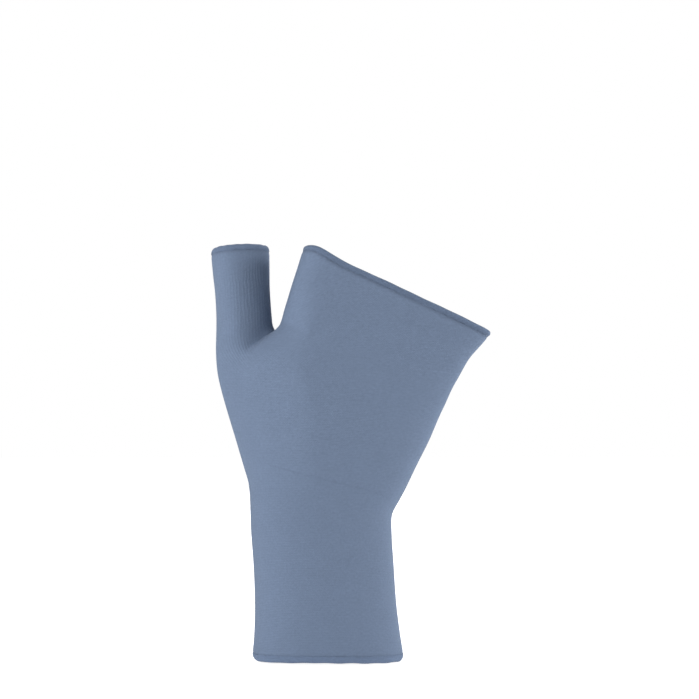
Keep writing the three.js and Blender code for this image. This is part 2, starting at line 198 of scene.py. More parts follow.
# The knit's finish. Noise scales are per metre, shakes in metres and depths in millimetres. Tones multiply the
# colour: loops by their height and a base, and the yarn by its unevenness. The legs give most of a loop's height.
LOOP_NOISE = 900.0
LOOP_SHAKE = 0.0005
LEG_SHARE = 0.6
LOOP_TONE = 0.09
BASE_TONE = 0.935
YARN_SCALES = {"Dash": 1500.0, "Cloud": 1050.0, "Patch": 170.0}
YARN_TONES = {"Dashes": 0.14, "Clouds": 0.27, "Patches": 0.07}
DASH_STRETCH = (0.35, 1.0, 1.0)
DASH_DEPTH = 0.03
DASH_ROUGHNESS = 0.1
RIB_SHAKE = 0.002
RIB_CLOUDS = 1.0
RIB_PATCHES = 2.0
ROOT_RIB_TONE = 0.08
INSIDE_TONE = 0.92

# The stage, in metres: the floor's half width and its gap below the wrist hem, and how strongly floor and world
# shine, everywhere and the rest for the camera alone. The picture is 699 pixels wide and high, of 0.4 mm each.
FLOOR_HALF = 3.0
FLOOR_GAP = 0.0005
FLOOR_ROUGHNESS = 0.9
FLOOR_GLOW = (0.19, 0.71)
WORLD_GLOW = (0.15, 0.85)
LIGHT_AIM = Vector((0.0114, 0.0, 0.03))
LIGHTS = [
    # name, place, width, power
    ("left_front_soft", (-1.1, -1.0, 0.3), 1.2, 17.7),
    ("left_high_soft", (-1.1, -0.5, 1.1), 1.2, 5.9),
    ("right_soft", (1.5, 0.0, 0.3), 0.8, 18.6),
    ("back_soft", (0.3, 1.5, 0.8), 1.2, 10.0),
]
PICTURE_MIDDLE = (0.0114, 0.0698)
PICTURE_WIDTH = 0.2796
CAMERA_AWAY = 1.6
SENSOR_WIDTH = 36.0


class GauntletSizes(bpy.types.PropertyGroup):
    """Sizes of the gauntlet's knit and hems"""

    fabric: bpy.props.FloatProperty(
        name="Knit", description="Thickness of the knit", default=1.1 * MM, min=0.0, unit="LENGTH"
    )
    wale: bpy.props.FloatProperty(
        name="Wale", description="Width of a column of loops", default=0.8 * MM, min=0.0, unit="LENGTH"
    )
    course: bpy.props.FloatProperty(
        name="Course", description="Height of a row of loops", default=0.66 * MM, min=0.0, unit="LENGTH"
    )
    rib: bpy.props.FloatProperty(
        name="Rib", description="Width of a rib of the thumb stall", default=1.4 * MM, min=0.0, unit="LENGTH"
    )
    stitch: bpy.props.FloatProperty(
        name="Stitch", description="Length of a stitch of the hems", default=2.5 * MM, min=0.0, unit="LENGTH"
    )
    groove: bpy.props.FloatProperty(
        name="Groove", description="Depth of a hem's stitch line", default=0.2 * MM, min=0.0, unit="LENGTH"
    )
    crease: bpy.props.FloatProperty(
        name="Crease", description="Depth of the sleeve's crease", default=0.1 * MM, min=0.0, unit="LENGTH"
    )


class GauntletColours(bpy.types.PropertyGroup):
    """Colours of the gauntlet and of its floor"""

    knit: bpy.props.FloatVectorProperty(
        name="Knit", description="Colour of the knit", default=(0.173, 0.230, 0.339),
        subtype="COLOR", min=0, max=1,
    )
    hem: bpy.props.FloatVectorProperty(
        name="Hem", description="Colour of the hems", default=(0.167, 0.226, 0.343),
        subtype="COLOR", min=0, max=1,
    )
    floor: bpy.props.FloatVectorProperty(
        name="Floor", description="Colour of the floor", default=(0.9, 0.9, 0.9),
        subtype="COLOR", min=0, max=1,
    )


# The loft

def lengths_along(lines, axis):
    """Length of the lines up to each of their points."""
    steps = np.linalg.norm(np.diff(lines, axis=axis), axis=-1)
    start = np.zeros_like(steps.take([0], axis=axis))
    return np.concatenate([start, np.cumsum(steps, axis=axis)], axis=axis)


def points_at(places, known, points):
    """Points of a line at these places, where known are the places of its own points."""
    return np.stack([np.interp(places, known, points[:, i]) for i in range(3)], axis=1)


def cubic(t, p1, p2, m1, m2):
    """A smooth step from p1 to p2, with the directions m1 and m2 at its ends."""
    return p1 + t * (m1 + t * (3 * (p2 - p1) - 2 * m1 - m2 + t * (2 * (p1 - p2) + m1 + m2)))


def section_points(s, degrees):
    """Points of a section's outline: 0 degrees is the ulnar end, 90 the back, 180 the radial end."""
    angle = np.radians(degrees)
    back = np.sin(angle) >= 0
    ulnar = np.cos(angle) >= 0
    back_round = np.where(ulnar, s.back_ulnar, s.back_radial)
    palm_round = np.where(ulnar, s.palm_ulnar, s.palm_radial)
    power = 2 / np.where(back, back_round, palm_round)
    peak = np.where(back, s.ridge, s.pad)
    along = peak + (np.where(ulnar, 1.0, -1.0) - peak) * np.abs(np.cos(angle)) ** power
    rise = np.abs(np.sin(angle)) ** power

    x = s.radial_x + (s.ulnar_x - s.radial_x) * (1 + along) / 2
    z = s.radial_z + (s.ulnar_z - s.radial_z) * (1 + along) / 2
    end_y = np.where(ulnar, s.ulnar_y, s.radial_y)
    y = end_y + (np.where(back, s.dorsal_y, s.palmar_y) - end_y) * rise
    level = s.radial_y + (s.ulnar_y - s.radial_y) * (1 + along) / 2
    lift = math.tan(math.radians(s.tilt)) * (level - y)
    crest = np.exp(-(((along - CREST_PLACE) / CREST_SPREAD) ** 2))
    lift += np.where(back, s.crest * rise * crest, 0)
    up = np.array([s.radial_z - s.ulnar_z, 0, s.ulnar_x - s.radial_x])
    up /= np.linalg.norm(up)
    return np.stack([x, y, z], axis=-1) + lift[:, None] * up


@functools.lru_cache(maxsize=None)
def outline(section):
    """A section's closed outline at even steps, rounded where it turns sharply, and its points' angles."""
    degrees = np.linspace(-180, 180, OUTLINE_STEPS + 1)
    points = section_points(section, degrees)
    reach = lengths_along(points, 0)
    even = np.arange(OUTLINE_STEPS) * reach[-1] / OUTLINE_STEPS
    points = points_at(even, reach, points)
    waves = np.fft.rfftfreq(OUTLINE_STEPS, reach[-1] / OUTLINE_STEPS)
    kept = np.exp(-2 * (np.pi * ROUNDING * waves) ** 2)
    points = np.fft.irfft(np.fft.rfft(points, axis=0) * kept[:, None], OUTLINE_STEPS, axis=0)
    return np.interp(even, reach, degrees), points


def arc_points(section, start, end, columns):
    """Points of a section between two angles, closer together where it turns."""
    degrees, points = outline(section)
    degrees = np.concatenate([degrees - 360, degrees, degrees + 360])
    points = points_at(np.linspace(start, end, OUTLINE_STEPS + 1), degrees, np.tile(points, (3, 1)))
    steps = np.diff(points, axis=0)
    length = np.linalg.norm(steps, axis=1)
    ahead = steps / np.maximum(length, SHORTEST)[:, None]
    turn = np.arccos(np.clip((ahead[1:] * ahead[:-1]).sum(axis=1), -1, 1))
    weight = length + TURN_WEIGHT * np.concatenate([[0], turn])
    reach = np.concatenate([[0], np.cumsum(weight)])
    return points_at(np.linspace(0, reach[-1], columns + 1), reach, points)


def arcs(sections, start, end, columns):
    """The points of a stack of sections between two angles."""
    return np.stack([arc_points(section, start, end, columns) for section in sections])


def smooth_lines(knots, places):
    """Lines through knots[knot, column], at places that count the knots."""
    padded = np.concatenate([2 * knots[:1] - knots[1:2], knots, 2 * knots[-1:] - knots[-2:-1]])
    first = np.minimum(places.astype(int), len(knots) - 2)
    t = (places - first)[:, None, None]
    p0, p1, p2, p3 = (padded[first + k] for k in range(4))
    d0, d1, d2 = (
        np.sqrt(np.linalg.norm(b - a, axis=-1, keepdims=True)) for a, b in ((p0, p1), (p1, p2), (p2, p3))
    )
    m1 = p2 - p1 + d1 * ((p1 - p0) / d0 - (p2 - p0) / (d0 + d1))
    m2 = p2 - p1 + d1 * ((p3 - p2) / d2 - (p3 - p1) / (d1 + d2))
    return cubic(t, p1, p2, m1, m2)


def row_places(knots, bend, more_rows):
    """Where the rows of a family of lines lie, counted in knots, with more of them by the hems and the bend."""
    inner = np.arange(ROWS) / ROWS
    places = [[0], HEM_ROWS[::-1], *(k + inner for k in range(knots - 1))]
    places += [[knots - 1 - t for t in HEM_ROWS], [knots - 1], [bend - t for t in VALLEY_ROWS]]
    places += [[bend + t for t in VALLEY_ROWS], more_rows]
    return np.unique(np.concatenate(places))


def family(below, above, bent, more_rows=()):
    """Lines up through two stacks of sections. bent is how sharply each column turns where the stacks meet."""
    knots = np.concatenate([below, above])
    bend = len(below) - 1
    places = row_places(len(knots), bend, more_rows)
    lines = smooth_lines(knots, places)
    low = smooth_lines(knots[: bend + 1], places[places <= bend])
    high = smooth_lines(knots[bend:], places[places >= bend] - bend)
    lines += np.asarray(bent)[:, None] * (np.concatenate([low, high[1:]]) - lines)
    return lines, int(np.searchsorted(places, bend))


def ends_bent(columns):
    """How sharply the columns of a family turn where only its first and last one do."""
    return [1, *[0] * (columns - 1), 1]


def web_arch(start, end):
    """The line over the web from the back to the palm side, through the web's lowest point."""
    t = np.linspace(0, 1, ARCH_STEPS + 1)[:, None]
    pull = 2 * WEB_POINT - (start + end) / 2
    arch = start * (1 - t) ** 2 + 2 * pull * t * (1 - t) + end * t**2
    reach = lengths_along(arch, 0)
    return points_at(np.linspace(0, reach[-1], WEB_COLUMNS + 1), reach, arch)


def edge_ends(quads):
    """Both ends of each side of each quad, in the order that it runs round them."""
    return np.stack([quads, np.roll(quads, -1, axis=1)], axis=-1).reshape(-1, 2)


def square_to(points, quads):
    """A direction square to each quad, longer for a larger one."""
    a, b, c, d = (points[quads[:, i]] for i in range(4))
    return np.cross(c - a, d - b)


class Surface:
    """The knit's outer surface: points and normals, quads with the knit's coordinates, and its open edges."""

    def __init__(self, sizes):
        self.lay_lattice()
        self.ease()
        self.refine()
        self.measure(sizes)
        self.find_edges()
        self.normals = self.vertex_normals()

    def lay_lattice(self):
        """Three families of lines: up to the finger hem, up to the thumb hem, and over the web between them."""
        dorsal, palmar = STALL_ON_SLEEVE
        web_dorsal, web_palmar = WEB_ON_MOUTH
        tip_dorsal, tip_palmar = WEB_ON_STALL
        below_mouth = arcs(SLEEVE, palmar - 360, dorsal, MOUTH_COLUMNS)
        below_stall = arcs(SLEEVE, dorsal, palmar, STALL_COLUMNS)
        mouth_tube = arcs(MOUTH, web_palmar - 360, web_dorsal, MOUTH_COLUMNS)
        stall_tube = arcs(STALL, tip_dorsal, tip_palmar + 360, STALL_COLUMNS)
        mouth_web = arcs(MOUTH, web_dorsal, web_palmar, WEB_COLUMNS)
        stall_web = arcs(STALL, tip_dorsal, tip_palmar, WEB_COLUMNS)
        self.web_ends = below_stall[-1][[0, -1]]
        arch = web_arch(*self.web_ends)

        mouth, bend = family(below_mouth, mouth_tube, ends_bent(MOUTH_COLUMNS), CREASE_ROWS)
        stall, bend = family(below_stall, stall_tube, ends_bent(STALL_COLUMNS), CREASE_ROWS)
        to_palm = np.linspace(-1, 1, WEB_COLUMNS + 1)
        bent = np.interp(to_palm, (0, WEB_ROUND), (WEB_BEND, 0))
        web, web_bend = family(np.concatenate([mouth_web[::-1], arch[None]]), stall_web, bent)
        self.bends = {"mouth": bend, "stall": bend, "web": web_bend}
        self.grids = self.numbered(mouth.shape[:2], stall.shape[:2], web.shape[:2])
        self.points = np.zeros((self.grids["web"].max() + 1, 3))
        for name, lines in (("web", web), ("stall", stall), ("mouth", mouth)):
            self.points[self.grids[name]] = lines
        self.quads = np.concatenate([self.corners(n, g) for n, g in self.grids.items()])

    def numbered(self, mouth_shape, stall_shape, web_shape):
        """Point numbers of each family, with one number where families share a line."""
        bend, web_bend = self.bends["mouth"], self.bends["web"]
        mouth = np.arange(np.prod(mouth_shape)).reshape(mouth_shape)
        stall = np.full(stall_shape, -1)
        stall[: bend + 1, 0] = mouth[: bend + 1, -1]
        stall[: bend + 1, -1] = mouth[: bend + 1, 0]
        stall[stall < 0] = mouth.size + np.arange((stall < 0).sum())
        web = np.full(web_shape, -1)
        web[: web_bend + 1, 0] = mouth[bend:, -1][::-1]
        web[: web_bend + 1, -1] = mouth[bend:, 0][::-1]
        web[web_bend:, 0] = stall[bend:, 0]
        web[web_bend:, -1] = stall[bend:, -1]
        web[web < 0] = stall.max() + 1 + np.arange((web < 0).sum())
        return {"mouth": mouth, "stall": stall, "web": web}

    def corners(self, name, grid):
        """The four corners of each quad of a family's grid, in the order that faces them outwards."""
        corners = [grid[:-1, :-1], grid[1:, :-1], grid[1:, 1:], grid[:-1, 1:]]
        if name == "web":
            corners.reverse()
        return np.stack(corners, axis=2).reshape(-1, 4, *grid.shape[2:])

    def ease(self):
        """Smooths the bends round both ends of the web, less and less away from them."""
        away = np.linalg.norm(self.points[:, None] - self.web_ends, axis=-1)
        t = np.clip(away / WEB_EASE_RADIUS, 0, 1)
        share = (WEB_EASE_SHARES * (1 - t * t * (3 - 2 * t))).max(axis=1)
        ends = np.unique(np.sort(edge_ends(self.quads), axis=1), axis=0)
        ends = np.concatenate([ends, ends[:, ::-1]])
        count = np.bincount(ends[:, 0])
        for _ in range(WEB_EASE_ROUNDS):
            middle = np.zeros_like(self.points)
            np.add.at(middle, ends[:, 0], self.points[ends[:, 1]])
            self.points += share[:, None] * (middle / count[:, None] - self.points)

    def refine(self):
        """Halves the lattice into a smooth surface that passes through its points."""
        goal = self.points
        steps = []
        for _ in range(HALVINGS):
            steps.append(Halving(self.quads, len(self.points)))
            self.points = steps[-1].apply(self.points)
            self.grids = {n: steps[-1].grid(n, g, self) for n, g in self.grids.items()}
            self.bends = {n: 2 * bend for n, bend in self.bends.items()}
            self.quads = np.concatenate([self.corners(n, g) for n, g in self.grids.items()])
        lattice = goal
        for _ in range(FITTINGS):
            lattice = lattice + goal - self.points[: len(goal)]
            self.points = functools.reduce(lambda points, step: step.apply(points), steps, lattice)

    def measure(self, sizes):
        """The knit's coordinates at the quads' corners, the quads of the stall, how far points are from a hem, and
        the dense stitches and painted shade beside the hems.
        """
        lines = {name: self.points[grid] for name, grid in self.grids.items()}
        bend, web_bend = self.bends["stall"], self.bends["web"]
        wale = sizes.wale / MM
        rows = {"mouth": lines["mouth"][:1], "stall": lines["stall"][:1], "web": lines["web"][-1:]}
        whole = {name: round(lengths_along(row, 1)[0, -1] / wale) * wale for name, row in rows.items()}
        start = {"mouth": 0.0, "stall": whole["mouth"], "web": whole["mouth"]}
        along = {name: lengths_along(line, 0) for name, line in lines.items()}
        root = np.linspace(along["stall"][bend, 0], along["stall"][bend, -1], lines["web"].shape[1])
        up = {**along, "web": root + np.abs(along["web"] - along["web"][web_bend])}

        coordinates, on_stall = [], []
        self.to_hem = np.zeros(len(self.points))
        self.density = np.zeros(len(self.points))
        ends = {"mouth": ("wrist", "finger"), "stall": ("wrist", "thumb"), "web": ("finger", "thumb")}
        for name, grid in self.grids.items():
            across = lengths_along(lines[name], 1)
            place = np.stack([start[name] + whole[name] * across / across[:, -1:], up[name]], axis=-1)
            coordinates.append(self.corners(name, place * MM))
            to_ends = along[name], along[name][-1] - along[name]
            self.to_hem[grid] = np.minimum(*to_ends)
            # Dense stitches and painted shade beside each hem, as at its stitch line, fading away from it
            self.density[grid] = sum(
                HEMS[end].density * np.exp(-((away / DENSE_AND_SHADE_REACH) ** 2))
                for end, away in zip(ends[name], to_ends)
            )
            first = len(grid) if name == "mouth" else self.bends[name]
            on_stall.append(np.repeat(np.arange(len(grid) - 1) >= first, grid.shape[1] - 1))
        self.coordinates = np.concatenate(coordinates)
        self.on_stall = np.concatenate(on_stall)
        self.lay_ribs(up["stall"] - up["stall"][bend], (up["web"] - root)[web_bend:])

    def lay_ribs(self, over_root, over_web):
        """How strong the stall's ribs are, more and more above its root, and the leaning ones on the root."""
        self.ribs = np.zeros(len(self.points))
        self.ribs[self.grids["web"][self.bends["web"] :]] = np.clip(over_web / RIB_RAMP, 0, 1)
        self.ribs[self.grids["stall"]] = np.clip(over_root / RIB_RAMP, 0, 1)
        x, y, z = self.points.T
        off = (self.points[:, [0, 2]] - ROOT_RIBS) / ROOT_RIBS_SIZE
        self.root_ribs = (y < ROOT_RIBS_PALM_Y) * np.exp(-(off**2).sum(axis=1))
        self.root_phase = (x - LEAN * np.clip(LEAN_TOP - z, 0, LEAN_REACH) ** 2) / ROOT_RIB

    def find_edges(self):
        """The points round each opening, in order."""
        mouth, stall, web = (self.grids[name] for name in ("mouth", "stall", "web"))
        self.edges = {
            "wrist": np.concatenate([mouth[0], stall[0, 1:-1]]),
            "finger": np.concatenate([mouth[-1], web[0, 1:-1]]),
            "thumb": np.concatenate([stall[-1], web[-1, 1:-1][::-1]]),
        }

    def vertex_normals(self):
        """Normals of the points, from the quads round them."""
        square = square_to(self.points, self.quads)
        sums = np.zeros_like(self.points)
        for i in range(4):
            np.add.at(sums, self.quads[:, i], square)
        return sums / np.linalg.norm(sums, axis=1, keepdims=True)


class Halving:
    """One step of the smooth subdivision of a mesh of quads."""

    def __init__(self, quads, count):
        self.quads, self.count = quads, count
        sides = np.sort(edge_ends(quads), axis=1)
        self.edges, self.edge_of_side = np.unique(sides, axis=0, return_inverse=True)
        self.edge_of_side = self.edge_of_side.reshape(-1, 4)
        self.face_count = np.bincount(self.edge_of_side.ravel())

    def apply(self, points):
        """The halved mesh's points: those of the mesh itself, then its edges' and its faces'."""
        faces = points[self.quads].mean(axis=1)
        middles = points[self.edges].mean(axis=1)
        beside = np.zeros_like(middles)
        np.add.at(beside, self.edge_of_side.ravel(), np.repeat(faces, 4, axis=0))
        inner = self.face_count == 2
        edges = np.where(inner[:, None], middles / 2 + beside / 4, middles)

        valence = np.bincount(self.quads.ravel(), minlength=self.count)[:, None]
        near_faces = np.zeros_like(points)
        np.add.at(near_faces, self.quads.ravel(), np.repeat(faces, 4, axis=0))
        near_edges = np.zeros_like(points)
        np.add.at(near_edges, self.edges.ravel(), np.repeat(middles, 2, axis=0))
        smooth = (near_faces / valence + 2 * near_edges / valence + (valence - 3) * points) / valence
        rim = np.zeros_like(points)
        np.add.at(rim, self.edges[~inner].ravel(), np.repeat(middles[~inner], 2, axis=0))
        on_rim = np.zeros(self.count, bool)
        on_rim[self.edges[~inner].ravel()] = True
        kept = np.where(on_rim[:, None], points / 2 + rim / 4, smooth)
        return np.concatenate([kept, edges, faces])

    def grid(self, name, grid, surface):
        """A family's grid of point numbers, halved."""
        made = np.zeros((2 * grid.shape[0] - 1, 2 * grid.shape[1] - 1), int)
        made[::2, ::2] = grid
        made[::2, 1::2] = self.edge_numbers(grid[:, :-1], grid[:, 1:])
        made[1::2, ::2] = self.edge_numbers(grid[:-1], grid[1:])
        before = 0
        for other, lines in surface.grids.items():
            if other == name:
                break
            before += (lines.shape[0] - 1) * (lines.shape[1] - 1)
        rows, columns = grid.shape[0] - 1, grid.shape[1] - 1
        faces = before + np.arange(rows * columns).reshape(rows, columns)
        made[1::2, 1::2] = self.count + len(self.edges) + faces
        return made

    def edge_numbers(self, a, b):
        """Numbers of the points that halve the edges from a to b."""
        keys = self.edges[:, 0] * self.count + self.edges[:, 1]
        wanted = np.minimum(a, b) * self.count + np.maximum(a, b)
        return self.count + np.searchsorted(keys, wanted)


@functools.lru_cache(maxsize=1)
def knit_surface():
    """The surface that all the pieces of the gauntlet share."""
    sizes = bpy.context.scene.gauntlet_sizes
    surface = Surface(sizes)
    groove_surface(surface, sizes)
    return surface


def groove_surface(surface, sizes):
    """Draws the knit in beside the hems and along the crease, paints shade along the crease, and keeps its edges as
    they were for the hems.
    """
    surface.edge_points = surface.points.copy()
    surface.edge_normals = surface.normals.copy()
    dip = sizes.groove / MM * np.exp(-((surface.to_hem / GROOVE_REACH) ** 2))

    x, y, z = surface.points.T
    line_x, line_z = CREASE_LINE.T
    off = (z - np.interp(x, line_x, line_z)) / CREASE_WIDTH
    share = np.clip((x - line_x[0]) / (line_x[-1] - line_x[0]), 0, 1)
    fade = np.clip(np.minimum(share / CREASE_FADES[0], (1 - share) / CREASE_FADES[1]), 0, 1)
    fold = fade * (y < 0) * np.exp(-(off**2))
    pucker = np.exp(-(((x - PUCKER_X) / PUCKER_LENGTH) ** 2))
    dip += sizes.crease / MM * fold * (1 + pucker)
    # Painted shade along the crease, darker still at the pucker
    surface.density += fold * (CREASE_PAINTED_SHADE + PUCKER_PAINTED_SHADE * pucker)

    surface.points = surface.points - dip[:, None] * surface.normals
    surface.normals = surface.vertex_normals()


# The meshes

def link(name, mesh, node, slot, *materials):
    """Puts a piece in the scene in place of its CAD node."""
    for material in materials:
        mesh.materials.append(material)
    piece = bpy.data.objects.new(name, mesh)
    bpy.context.scene.collection.objects.link(piece)
    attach(piece, "root")
    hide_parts(node)
    return piece


def quad_mesh(name, points, quads, coordinates):
    """A mesh of quads, with the knit's coordinates as its UV map."""
    mesh = bpy.data.meshes.new(name)
    mesh.vertices.add(len(points))
    mesh.vertices.foreach_set("co", (points * MM).ravel())
    mesh.loops.add(quads.size)
    mesh.loops.foreach_set("vertex_index", quads.ravel())
    mesh.polygons.add(len(quads))
    mesh.polygons.foreach_set("loop_start", np.arange(0, quads.size, 4))
    mesh.polygons.foreach_set("use_smooth", np.ones(len(quads), bool))
    mesh.uv_layers.new(name="knit").uv.foreach_set("vector", coordinates.ravel())
    mesh.update()
    return mesh


def set_values(mesh, name, values):
    """Gives each point of a mesh a value that its material reads by name."""
    mesh.attributes.new(name, "FLOAT", "POINT").data.foreach_set("value", values)


def fabric_mesh(name, of_stall):
    """One piece of the knit as a closed wall: outside, inside and the rims between them."""
    surface = knit_surface()
    fabric = bpy.context.scene.gauntlet_sizes.fabric / MM
    chosen = surface.on_stall == of_stall
    ids, quads = np.unique(surface.quads[chosen], return_inverse=True)
    quads = quads.reshape(-1, 4)
    coordinates = surface.coordinates[chosen]
    normals = surface.normals[ids]
    outer = surface.points[ids]
    points = np.concatenate([outer, outer - fabric * normals])

    ends = edge_ends(quads)
    where = np.stack([coordinates, np.roll(coordinates, -1, axis=1)], axis=-2).reshape(-1, 2, 2)
    keys = ends[:, 0] * len(ids) + ends[:, 1]
    open_ends = ~np.isin(keys, ends[:, 1] * len(ids) + ends[:, 0])
    start, end = ends[open_ends].T
    rims = np.stack([end, start, start + len(ids), end + len(ids)], axis=1)
    rim_coordinates = where[open_ends][:, [1, 0, 0, 1]]

    all_quads = np.concatenate([quads, quads[:, ::-1] + len(ids), rims])
    all_coordinates = np.concatenate([coordinates, coordinates[:, ::-1], rim_coordinates])
    mesh = quad_mesh(name, points, all_quads, all_coordinates)
    counts = [len(quads), len(quads), len(rims)]
    mesh.polygons.foreach_set("material_index", np.repeat([0, 1, 0], counts))
    set_values(mesh, "ribs", np.tile(surface.ribs[ids], 2))
    set_values(mesh, "root_ribs", np.tile(surface.root_ribs[ids], 2))
    set_values(mesh, "root_phase", np.tile(surface.root_phase[ids], 2))
    # Dense stitches and painted shade by the hems, and painted shade along the crease
    set_values(mesh, "dense_stitches_and_painted_shade", np.tile(surface.density[ids], 2))

    shading = np.concatenate([normals, -normals])[all_quads]
    square = square_to(points, rims)
    square /= np.linalg.norm(square, axis=1, keepdims=True)
    shading[-len(rims) :] = square[:, None]
    mesh.normals_split_custom_set(shading.reshape(-1, 3))
    return mesh


def closed_line(knots, count):
    """A closed smooth line through the knots, at even places."""
    places = np.arange(count) * len(knots) / count
    first = places.astype(int)
    p0, p1, p2, p3 = (knots[(first + k) % len(knots)] for k in (-1, 0, 1, 2))
    return cubic((places - first)[:, None], p1, p2, (p2 - p0) / 2, (p3 - p1) / 2)


def eased(line):
    """A closed line with each point moved towards those beside it."""
    return (np.roll(line, 1, axis=0) + 2 * line + np.roll(line, -1, axis=0)) / 4


def hem_profile(hem):
    """A hem in section: along the knit and out of it, from the stitch line over the free edge to the inside."""
    flat = hem.height - hem.round_along
    face = [(flat * t, -hem.recess * (1 - t) ** HEM_FACE_POWER) for t in HEM_FACE]
    turn = np.radians(np.linspace(90, 0, HEM_ROUND_STEPS))
    along = hem.height - hem.round_along * (1 - np.cos(turn))
    through = -hem.round_through * (1 - np.sin(turn))
    inside = [(hem.height - below, depth) for below, depth in HEM_INSIDE]
    middle = (hem.height / 2, -HEM_THICKNESS)
    knots = [HEM_START, *face, *zip(along, through), *inside, middle, *HEM_FOOT]
    return closed_line(np.array(knots), HEM_PROFILE_STEPS)


def hem_line(edge):
    """Places round an open edge and its whole length, the points there, and the ways out of the knit and off it."""
    surface = knit_surface()
    points, normals = surface.edge_points[edge], surface.edge_normals[edge]
    points, normals = (np.concatenate([known, known[:1]]) for known in (points, normals))
    steps = np.linalg.norm(np.diff(points, axis=0), axis=1)
    around = steps.sum()
    reach = np.concatenate([[0], np.cumsum(steps)])
    count = int(around / HEM_STEP)
    places = np.arange(count) * around / count
    line, out = points_at(places, reach, points), points_at(places, reach, normals)
    for _ in range(HEM_EASE_ROUNDS):
        line, out = eased(line), eased(out)

    ahead = np.roll(line, -1, axis=0) - np.roll(line, 1, axis=0)
    ahead /= np.linalg.norm(ahead, axis=1, keepdims=True)
    out -= (out * ahead).sum(axis=1, keepdims=True) * ahead
    out /= np.linalg.norm(out, axis=1, keepdims=True)
    off = np.cross(ahead, out)
    off *= np.sign((off * (line - surface.points.mean(axis=0))).sum())
    return places, around, line, out, off


def hem_rings(hem, profile, places, around, line, out, off):
    """A hem's profile carried round its edge, drawn in at each stitch and waved a little."""
    stitch = bpy.context.scene.gauntlet_sizes.stitch / MM
    along, through = profile.T
    stitched = np.clip(1 - along / STITCH_REACH, 0, 1) * (through > STITCH_THROUGH)
    chance = np.random.default_rng(hem.seed)
    stitches = round(around / stitch)
    strengths = chance.normal(1, STITCH_SPREAD, stitches)
    phase = places / around * stitches
    pull = (np.abs(np.sin(np.pi * phase)) * strengths[phase.astype(int) % stitches])[:, None]
    waves = sum(
        np.sin(2 * np.pi * (turns * places / around + chance.random()))
        for turns in chance.integers(*WAVE_TURNS, WAVES)
    )
    x = along + STITCH_DRAW * (pull - STITCH_MEAN) * stitched + WAVE_HEIGHT * waves[:, None]
    y = through - STITCH_DEPTH * (1 - pull) * stitched
    return line[:, None] + x[..., None] * off[:, None] + y[..., None] * out[:, None]


def hem_mesh(name, edge, hem):
    """A rolled hem: a closed ring along an open edge of the knit."""
    profile = hem_profile(hem)
    places, around, *line = hem_line(edge)
    rings = hem_rings(hem, profile, places, around, *line)
    points = rings.reshape(-1, 3)
    ids = np.arange(len(points)).reshape(rings.shape[:2])
    beside = np.roll(ids, -1, axis=0)
    quads = np.stack([ids, beside, np.roll(beside, -1, axis=1), np.roll(ids, -1, axis=1)], axis=-1)
    quads = quads.reshape(-1, 4)
    girth = lengths_along(np.concatenate([profile, profile[:1]]), 0)
    place = np.stack(np.meshgrid(np.append(places, around), girth, indexing="ij"), axis=-1) * MM
    corners = [place[:-1, :-1], place[1:, :-1], place[1:, 1:], place[:-1, 1:]]
    coordinates = np.stack(corners, axis=-2).reshape(-1, 4, 2)

    a, b, c, d = (points[quads[:, i]] for i in range(4))
    inside_out = (a * np.cross(b, c)).sum() + (a * np.cross(c, d)).sum() < 0
    if inside_out:
        quads, coordinates = quads[:, ::-1], coordinates[:, ::-1]
    mesh = quad_mesh(name, points, np.ascontiguousarray(quads), np.ascontiguousarray(coordinates))
    # The hem darkens towards its stitch line with dense stitches and painted shade; below zero, at the free edges of
    # the wrist and thumb hems, the value is painted light
    share = np.clip(profile[:, 0] / hem.height, 0, 1)
    dense = hem.density + (hem.edge_density - hem.density) * share
    set_values(mesh, "dense_stitches_and_painted_shade", np.tile(dense, len(rings)))
    return mesh


# The finishes

def add_node(tree, kind, inputs=(), **settings):
    """A node with its settings, and its inputs set to values or joined to sockets."""
    node = tree.nodes.new(kind)
    for name, value in settings.items():
        setattr(node, name, value)
    for name, value in dict(inputs).items():
        if isinstance(value, bpy.types.NodeSocket):
            tree.links.new(value, node.inputs[name])
        else:
            node.inputs[name].default_value = value
    return node


def maths(tree, operation, a, b=0.0, c=0.0):
    """The result of a Math node."""
    return add_node(tree, "ShaderNodeMath", {0: a, 1: b, 2: c}, operation=operation).outputs[0]


def vector_maths(tree, operation, a, b):
    """The result of a Vector Math node."""
    second = "Scale" if operation == "SCALE" else 1
    return add_node(tree, "ShaderNodeVectorMath", {0: a, second: b}, operation=operation).outputs[0]


def noise(tree, vector, scale, detail):
    """The outputs of a Noise Texture node."""
    inputs = {"Vector": vector, "Scale": scale, "Detail": detail}
    return add_node(tree, "ShaderNodeTexNoise", inputs).outputs


def point_value(tree, name):
    """A value that the mesh gives each point."""
    return add_node(tree, "ShaderNodeAttribute", attribute_name=name).outputs["Fac"]


def new_group(name, inputs, outputs):
    """An empty node group with these sockets, and its input and output nodes' sockets."""
    tree = bpy.data.node_groups.new(name, "ShaderNodeTree")
    for label, kind in inputs:
        tree.interface.new_socket(label, in_out="INPUT", socket_type="NodeSocket" + kind)
    for label, kind in outputs:
        tree.interface.new_socket(label, in_out="OUTPUT", socket_type="NodeSocket" + kind)
    return tree, tree.nodes.new("NodeGroupInput").outputs, tree.nodes.new("NodeGroupOutput").inputs


